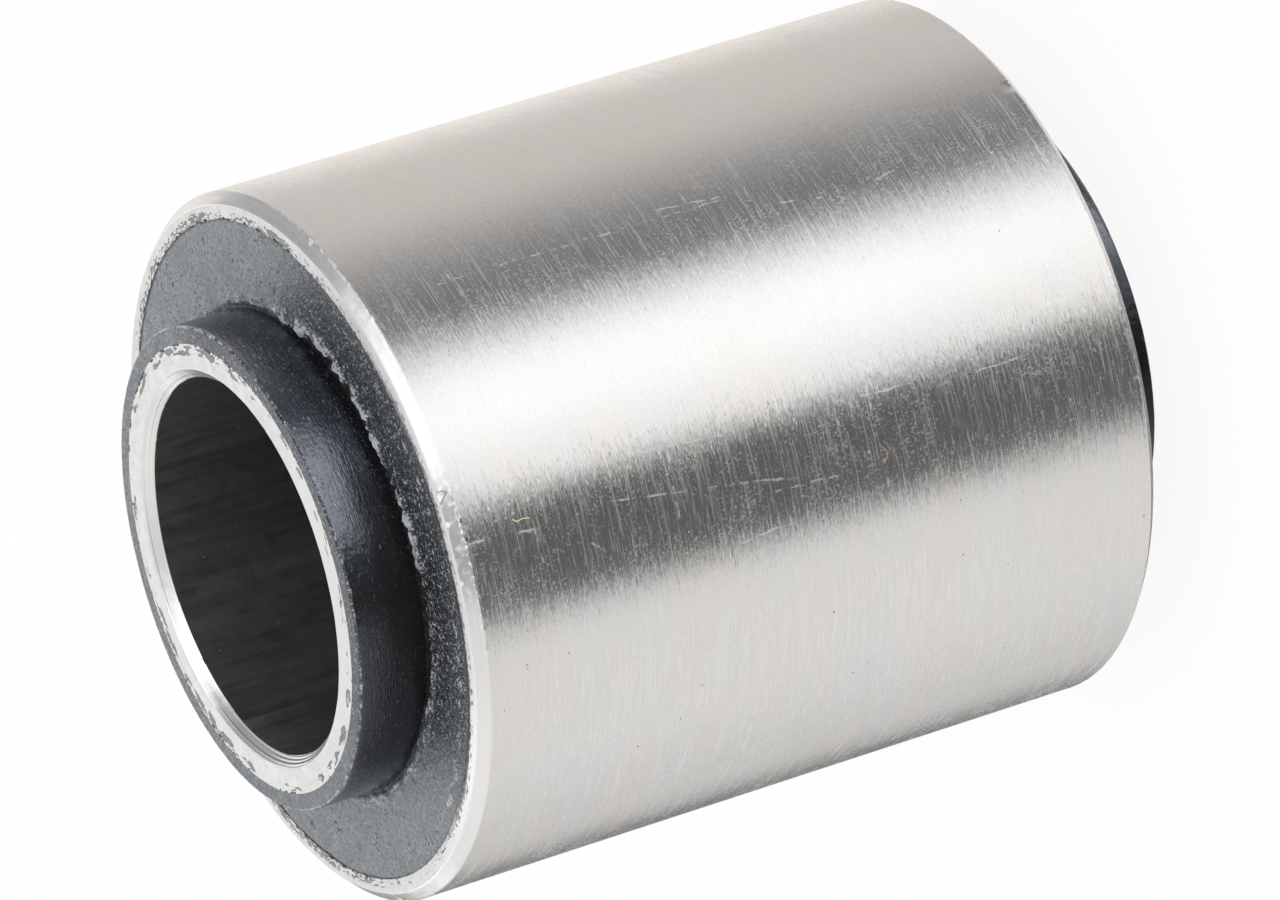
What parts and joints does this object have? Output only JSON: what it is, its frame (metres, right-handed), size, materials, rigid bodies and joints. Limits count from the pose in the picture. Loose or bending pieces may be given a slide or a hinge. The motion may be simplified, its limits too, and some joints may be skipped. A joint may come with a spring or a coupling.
{
  "type": "rubber metal bush",
  "caption": "Bonded rubber bush: steel outer sleeve to press into an eye, rubber between, and a longer steel inner sleeve with a collar of rubber at each end for a clamped bolt.",
  "frame": {"origin": "on the axis of the bore, at the lower end face of the inner sleeve, which the bush stands on", "axes": "+Z along the bore, away from the end that the bush stands on; +X and +Y are square to it, and the part is round about Z"},
  "size_m": [0.032, 0.032, 0.04],
  "materials": {
    "outer_steel": "turned steel with fine rings round the axis",
    "rubber": "moulded black rubber with a dull sheen",
    "inner_steel": "faced and bored steel tube"
  },
  "bodies": {
    "root": {"outer_sleeve": "outer_steel", "rubber_body": "rubber", "inner_sleeve": "inner_steel"}
  },
  "joints": []
}
